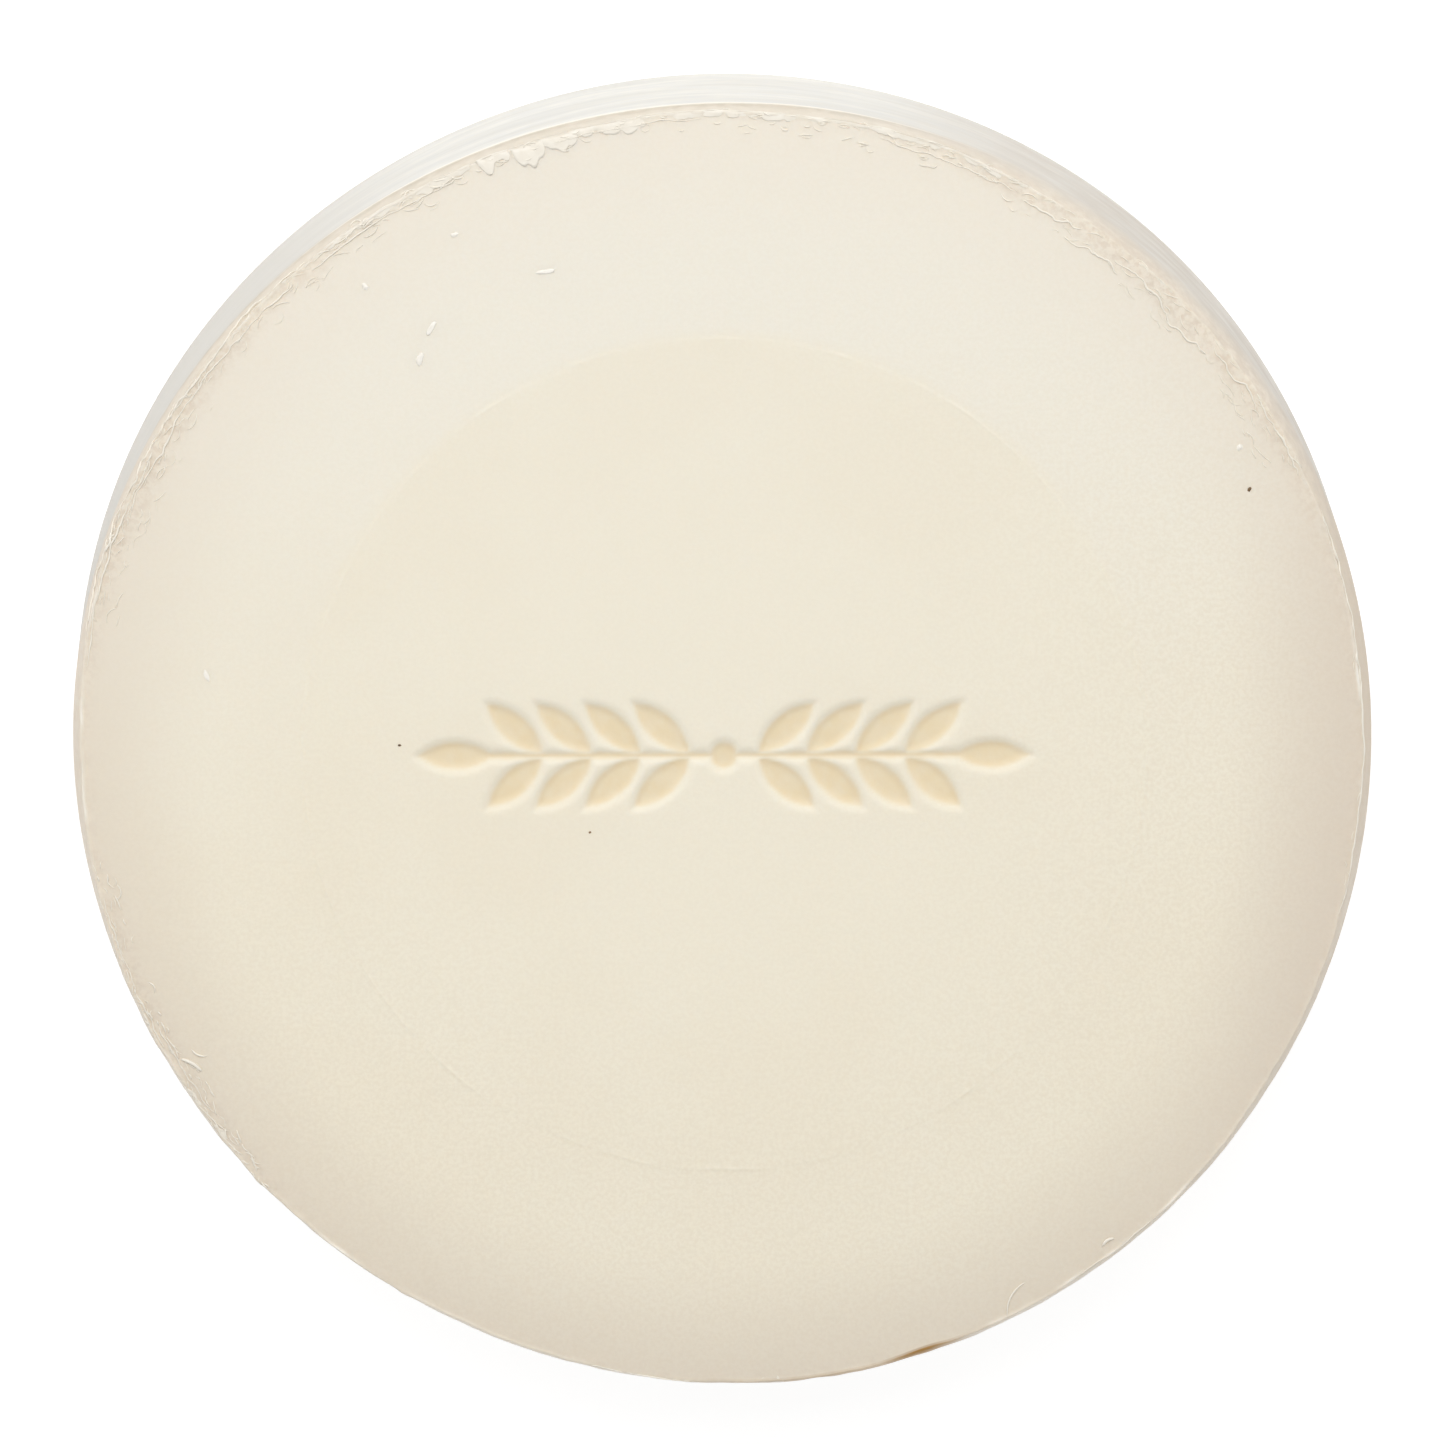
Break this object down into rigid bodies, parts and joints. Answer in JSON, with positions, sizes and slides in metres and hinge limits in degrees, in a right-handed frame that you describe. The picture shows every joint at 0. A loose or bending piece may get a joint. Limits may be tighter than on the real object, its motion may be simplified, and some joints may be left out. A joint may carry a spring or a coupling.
{
  "type": "shaving soap puck",
  "caption": "Round puck of hard cream shaving soap, pressed and stamped, with steep rounded shoulders and thin torn slivers of pressing flash along the front rim.",
  "frame": {"origin": "centre of the back face that the puck rests on, on the puck's axis", "axes": "+Z along the puck's axis, out of the stamped face; +Y towards 12 o'clock of the stamp; +X towards 3 o'clock"},
  "size_m": [0.074, 0.074, 0.0192],
  "materials": {
    "soap": "waxy satin face, smoother and glossier side wall",
    "flash": "thin pale shavings of the same soap, slightly see-through",
    "grit": "matte"
  },
  "bodies": {
    "root": {"soap_cake": "soap", "flash_flap_top": "flash", "flash_strip_upper_left": "flash", "flash_fringe_left": "flash", "flash_shreds_lower_left": "flash", "flash_nub_bottom": "flash", "flash_thread_lower_right": "flash", "flash_flake_lower_right": "flash", "flash_ridge_right": "flash", "flash_fringe_upper_right": "flash", "flash_strip_top_right": "flash", "face_crumbs": "flash", "dark_specks": "grit"}
  },
  "joints": []
}
